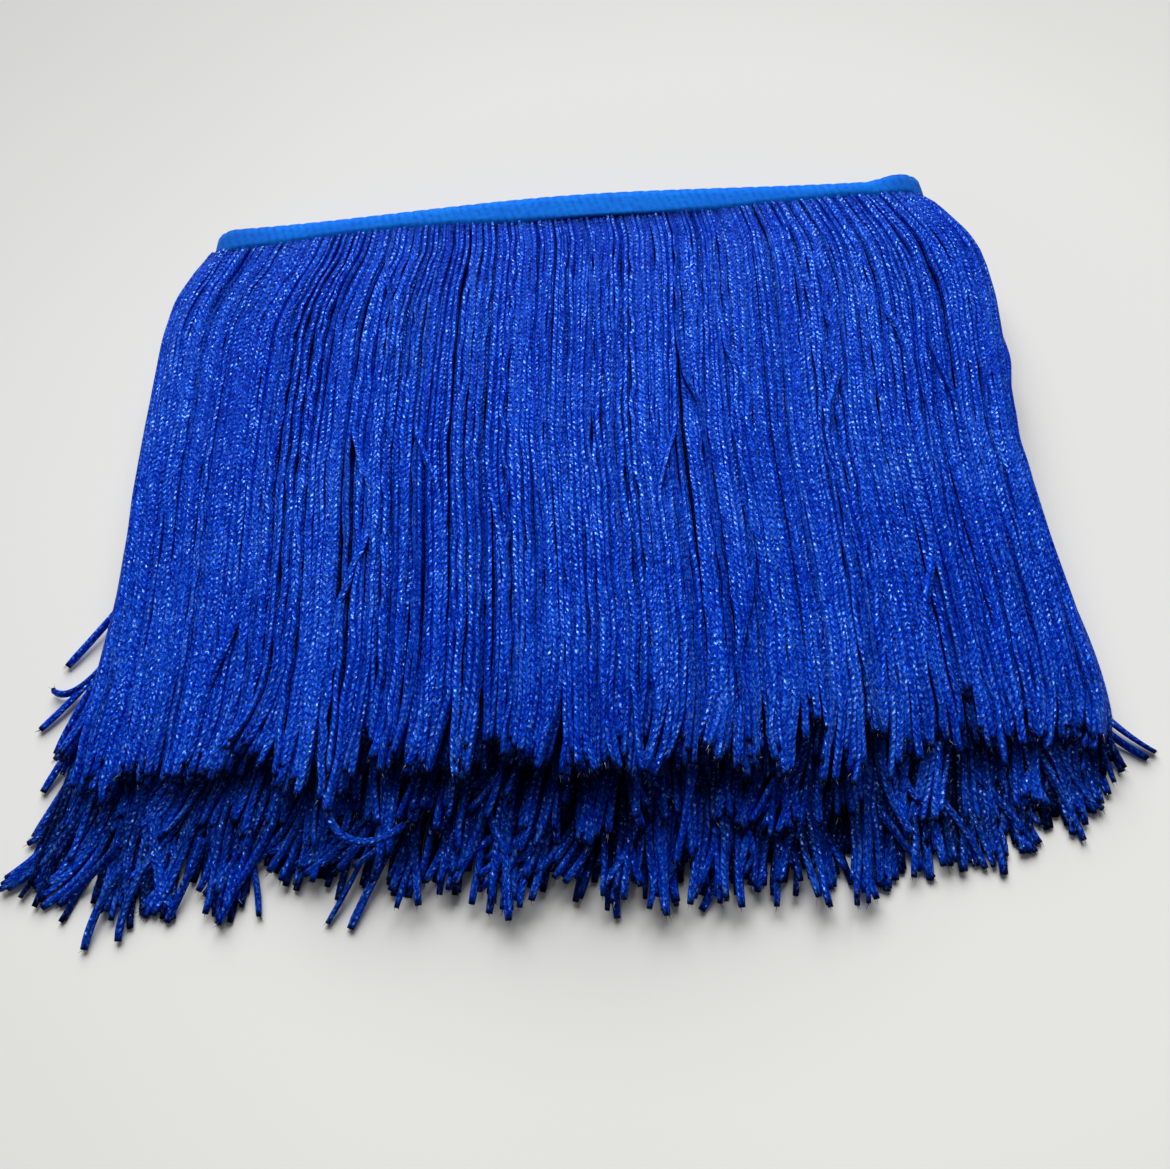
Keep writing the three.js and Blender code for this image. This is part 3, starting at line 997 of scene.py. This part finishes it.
# Strands that lie away from the pile: control points as (x, forward, z).
STRAY_STRANDS = (
    ((-150, 135, 7), (-163, 152, 3), (-178, 171, 1)),
    ((-152, 152, 7), (-164, 178, 3), (-175, 186, 2), (-181, 180, 2)),
    ((-153, 155, 7), (-163, 174, 3), (-183, 194, 1)),
    ((-154, 160, 7), (-168, 180, 4), (-176, 203, 1)),
    ((-157, 175, 7), (-168, 196, 3), (-178, 216, 1)),
    ((-157, 190, 7), (-168, 212, 3), (-178, 231, 1)),
    ((-155, 205, 7), (-167, 220, 3), (-178, 243, 1)),
    ((-155, 215, 7), (-166, 230, 3), (-175, 247, 1)),
    ((-148, 236, 6), (-157, 246, 3), (-166, 253, 1)),
    ((-146, 244, 6), (-154, 254, 3), (-156, 267, 1)),
    ((-138, 242, 6), (-146, 254, 3), (-146, 265, 1)),
    ((148, 190, 6), (160, 213, 3), (175, 223, 1)),
    ((146, 196, 6), (158, 216, 3), (172, 225, 1)),
    ((148, 196, 6), (160, 215, 3), (163, 229, 1)),
    ((144, 200, 6), (155, 220, 3), (157, 236, 1)),
    ((134, 215, 6), (142, 232, 3), (146, 250, 1)),
    ((137, 212, 6), (147, 232, 3), (143, 248, 1)),
    ((-108, 238, 6), (-117, 250, 3), (-116, 260, 1)),
    ((-122, 236, 6), (-127, 250, 3), (-132, 260, 1)),
    ((-70, 240, 6), (-76, 252, 3), (-83, 263, 1)),
    ((-62, 238, 6), (-70, 252, 3), (-76, 265, 1)),
    ((8, 244, 7), (3, 256, 3), (4, 266, 1)),
    ((38, 242, 7), (36, 256, 3), (29, 265, 1)),
    ((64, 238, 6), (70, 250, 3), (69, 260, 1)),
    ((86, 240, 6), (92, 250, 3), (99, 259, 1)),
    ((104, 236, 6), (112, 246, 3), (115, 257, 1)),
    ((116, 228, 6), (125, 240, 3), (131, 251, 1)),
    ((-82, 224, 17), (-84, 238, 16), (-76, 246, 14), (-66, 245, 14), (-58, 238, 15)),
    ((-140, 62, 11), (-163, 88, 4), (-170, 120, 2), (-160, 140, 3), (-150, 150, 6)),
    ((148, 120, 8), (160, 160, 4), (166, 190, 3), (163, 214, 2)),
)


def curve_through(points, count):
    """A smooth curve that the control points pull, from the first to the last."""
    share = np.linspace(0, 1, count)[:, None, None]
    rows = np.repeat(np.array(points, float)[None], count, axis=0)
    while rows.shape[1] > 1:
        rows = rows[:, :-1] * (1 - share) + rows[:, 1:] * share
    return rows[:, 0]


STRAY_RINGS = 26
STRAY_RISE = STRAND_THICKNESS / 2 - 0.6
STRAY_SHADE = 0.4  # how much darker the strays in front are
STRAY_FRONT = (190, 230)


def stray_strands():
    rng = rng_for(60)
    lines = np.stack([curve_through(points, STRAY_RINGS) for points in STRAY_STRANDS])
    lines[..., 1] *= -1
    lines[..., 2] += STRAY_RISE
    outwards = np.zeros_like(lines)
    outwards[..., 2] = 1
    lit = 1 - STRAY_SHADE * smoothstep(-lines[..., 1], *STRAY_FRONT)
    made = strands_object("stray_strands", lines, outwards, lit, GROOVED_CORNERS, rng)
    keep_cut_ends(lines)
    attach(made, "root")


# Frayed fibres

FIBRES_PER_END = 4
FIBRE_LENGTH = (0.8, 2.6)
FIBRE_RADIUS = 0.11
FIBRE_RINGS = 4
FIBRE_CORNERS = 3
FIBRE_LOWEST = 0.25
FIBRE_SCATTER = 0.35
FIBRE_BEND = 0.5
FIBRE_TUCK = 0.6  # how far a fibre starts inside its cut end
FIBRE_START_SIZE = 1.2  # how thick it starts, as a share of its radius


def cut_fibres():
    """Fibres that stand out of the cut ends."""
    rng = rng_for(70)
    tips, ways = (np.concatenate(values) for values in zip(*CUT_ENDS))
    tips = np.repeat(tips, FIBRES_PER_END, axis=0)
    ways = np.repeat(ways, FIBRES_PER_END, axis=0)
    count = len(tips)
    aims = unit(ways + rng.normal(0, FIBRE_SCATTER, (count, 3)))
    bends = rng.normal(0, FIBRE_BEND, (count, 3))
    starts = tips - ways * FIBRE_TUCK + rng.normal(0, FIBRE_SCATTER, (count, 3))
    length = rng.uniform(*FIBRE_LENGTH, (count, 1, 1))
    share = np.linspace(0, 1, FIBRE_RINGS)[None, :, None]
    lines = starts[:, None] + aims[:, None] * share * length + bends[:, None] * share**2 * 0.5
    lines[..., 2] = np.maximum(lines[..., 2], FIBRE_LOWEST)
    side = unit(np.cross(aims, (0.0, 0.0, 1.0)))[:, None, None]
    up = np.cross(side, aims[:, None, None])
    angles = np.arange(FIBRE_CORNERS) / FIBRE_CORNERS * 2 * math.pi
    radius = FIBRE_RADIUS * (FIBRE_START_SIZE - share[..., None])
    ring = side * np.cos(angles)[None, None, :, None] + up * np.sin(angles)[None, None, :, None]
    points = lines[:, :, None] + ring * radius
    faces, sizes = tube_faces(count, FIBRE_RINGS, FIBRE_CORNERS)
    made = mesh_object("cut_fibres", points.reshape(-1, 3), faces, sizes, fibre_material())
    tones = np.repeat(rng.uniform(0, 1, count), FIBRE_RINGS * FIBRE_CORNERS)
    point_values(made, "tone", tones)
    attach(made, "root")


# Heading


HEADING_SHADE = (0.35, 0.5)  # how much darker its left and right ends are
LEFT_END = (105, 142)
RIGHT_END = (118, 143)
INNER_TAIL = 14  # the inner end stops this far short of the last bend
RIB_STEP = RIB_PITCH / 6
RIB_DEPTH = 0.3  # as a share of the tape's thickness
RIB_FULLNESS = 0.6
SCALLOP = 0.45
SCALLOP_FULLNESS = 0.5
EDGE_ROUNDING = 0.35
TAPE_COLUMNS = (-1, -0.8, -0.6, -0.4, -0.2, 0, 0.35, 1)
FINE_LENGTH = 1.2 * PACK_LENGTH  # the outer part of the winding that is drawn finely
COARSE_EVERY = 3
DIP_LENGTH = 2.5


def winding_line(step):
    """The middle line of the wound tape, seen along Y, from its outer end to its inner end."""
    depth_step = 1 / (2 * TURNS - 1)
    runs = np.arange(-BEND_START, BEND_START + step / 2, step)

    def layer(x, turn, upper):
        share = smoothstep(np.abs(x) / BEND_START, 0, 1)
        height = PACK_HEIGHT_MIDDLE + (PACK_HEIGHT_END - PACK_HEIGHT_MIDDLE) * share
        room = height - TAPE_THICKNESS
        depth = turn * depth_step * room
        return TAPE_THICKNESS / 2 + (room - depth if upper else depth)

    def bend(side, from_angle, to_angle, from_turn, to_turn):
        mean = (0.5 - from_turn * depth_step) * (PACK_HEIGHT_END - TAPE_THICKNESS)
        count = max(4, round(abs(to_angle - from_angle) * mean / step))
        share = np.arange(1, count) / count
        angle = from_angle + (to_angle - from_angle) * share
        turn = from_turn + (to_turn - from_turn) * share
        radius = (0.5 - turn * depth_step) * (PACK_HEIGHT_END - TAPE_THICKNESS)
        squared = np.sign(np.sin(angle)) * np.abs(np.sin(angle)) ** BEND_SQUARENESS
        x = side * (BEND_START + radius * np.abs(np.cos(angle)) ** BEND_SQUARENESS)
        return np.stack((x, PACK_HEIGHT_END / 2 + radius * squared), axis=-1)

    quarter = math.pi / 2
    parts = [bend(-1, 0, quarter, 0, 0)]
    for turn in range(TURNS):
        parts.append(np.stack((runs, layer(runs, turn, True)), axis=-1))
        parts.append(bend(1, quarter, -quarter, turn, turn))
        back = runs[::-1] if turn < TURNS - 1 else runs[::-1][: -round(INNER_TAIL / step)]
        parts.append(np.stack((back, layer(back, turn, False)), axis=-1))
        if turn < TURNS - 1:
            parts.append(bend(-1, -quarter, quarter, turn, turn + 1))
    return np.concatenate(parts)


def tape_section():
    """Places around the tape: across it as shares, and 1 on its outside or -1 on its inside."""
    outside = [(column, 1) for column in TAPE_COLUMNS]
    inside = [(column, -1) for column in TAPE_COLUMNS[::-1]]
    return np.array(outside + inside)


def tape_points(line, length, section):
    """The tape's surface, with ribs across it, a scalloped back edge and a dipping front edge."""
    ahead = unit(np.gradient(line, axis=0))
    across = np.stack((-ahead[:, 1], ahead[:, 0]), axis=-1)
    rib = np.abs(np.sin(math.pi * length / RIB_PITCH)) ** RIB_FULLNESS
    thickness = TAPE_THICKNESS / 2 * (1 - RIB_DEPTH + RIB_DEPTH * rib)
    wave = np.abs(np.sin(math.pi * length / (2 * RIB_PITCH))) ** SCALLOP_FULLNESS
    rounding = 1 - EDGE_ROUNDING * np.abs(section[:, 0]) ** 6
    out = section[None, :, 1] * thickness[:, None] * rounding[None, :]
    x = line[:, None, 0] + across[:, None, 0] * out
    z = line[:, None, 1] + across[:, None, 1] * out
    side = section[None, :, 0]
    back_edge = side > 0.9
    half = TAPE_WIDTH / 2 - SCALLOP * back_edge + SCALLOP * wave[:, None] * back_edge
    y = side * half + setback(x, z)
    past_fold = -side * TAPE_WIDTH / 2 - (TAPE_WIDTH / 2 - np.interp(x, COVER_X, COVER))
    on_top = (length[:, None] < PACK_LENGTH) & (z > PACK_HEIGHT_END * 0.8)
    z = z - on_top * COVER_DIP * smoothstep(past_fold, 0, DIP_LENGTH)
    return np.stack((x, y, z), axis=-1)


def heading_band():
    """The tape, wound in all its turns."""
    line = winding_line(RIB_STEP)
    outer = round(FINE_LENGTH / RIB_STEP)
    line = np.concatenate((line[:outer], line[outer::COARSE_EVERY]))
    steps = np.linalg.norm(np.diff(line, axis=0), axis=-1)
    length = np.concatenate(((0,), np.cumsum(steps)))
    section = tape_section()
    points = tape_points(line, length, section)
    faces, sizes = tube_faces(1, len(line), len(section))
    material = heading_material()
    made = mesh_object("heading_band", points.reshape(-1, 3), faces, sizes, material)
    weave_uvs(made, length, section)
    x = points[..., 0]
    left, right = smoothstep(-x, *LEFT_END), smoothstep(x, *RIGHT_END)
    point_values(made, "lit", 1 - HEADING_SHADE[0] * left - HEADING_SHADE[1] * right)
    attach(made, "root")
    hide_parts("heading_tape")


def weave_uvs(made, length, section):
    """u across the tape and v along it, both in millimetres."""
    rings, corners = len(length), len(section)
    u = section[:, 0] * TAPE_WIDTH / 2
    quads = np.zeros((rings - 1, corners, 4, 2))
    quads[:, :, 0, 0] = quads[:, :, 3, 0] = u
    quads[:, :, 1, 0] = quads[:, :, 2, 0] = np.roll(u, -1)
    quads[:, :, 0, 1] = quads[:, :, 1, 1] = length[:-1, None]
    quads[:, :, 2, 1] = quads[:, :, 3, 1] = length[1:, None]
    add_uvs(made, "weave", quads, np.zeros((2 * corners, 2)))


# Stage


FLOOR_HALF = 3.0  # in metres
SUN_WAY = (0.08, -1.2, -1)
SUN_STRENGTH = 4.3
SUN_SPREAD = 55  # degrees
SUN_COLOUR = (1, 0.995, 0.98)
STUDIO_STRENGTH = 0.13
STUDIO_COLOUR = (0.97, 0.98, 1, 1)


def make_floor():
    half = FLOOR_HALF
    corners = ((-half, -half), (half, -half), (half, half), (-half, half))
    mesh = bpy.data.meshes.new("floor")
    mesh.from_pydata([(x, y, 0) for x, y in corners], [], [(0, 1, 2, 3)])
    mesh.materials.append(floor_material())
    floor = bpy.data.objects.new("floor", mesh)
    bpy.context.scene.collection.objects.link(floor)


def make_light():
    world = bpy.data.worlds.new("studio")
    world.use_nodes = True
    background = world.node_tree.nodes["Background"]
    background.inputs["Color"].default_value = STUDIO_COLOUR
    background.inputs["Strength"].default_value = STUDIO_STRENGTH
    bpy.context.scene.world = world
    data = bpy.data.lights.new("overhead", "SUN")
    data.energy = SUN_STRENGTH
    data.angle = math.radians(SUN_SPREAD)
    data.color = SUN_COLOUR
    light = bpy.data.objects.new("overhead", data)
    light.rotation_euler = Vector(SUN_WAY).to_track_quat("-Z", "Y").to_euler()
    bpy.context.scene.collection.objects.link(light)


face_strands()
for number, row in enumerate(LAYER_SETS):
    layer_set(row, number)
stray_strands()
cut_fibres()
heading_band()
make_floor()
make_light()

bpy.context.scene.view_settings.view_transform = "Standard"
bpy.context.scene.view_settings.look = "None"
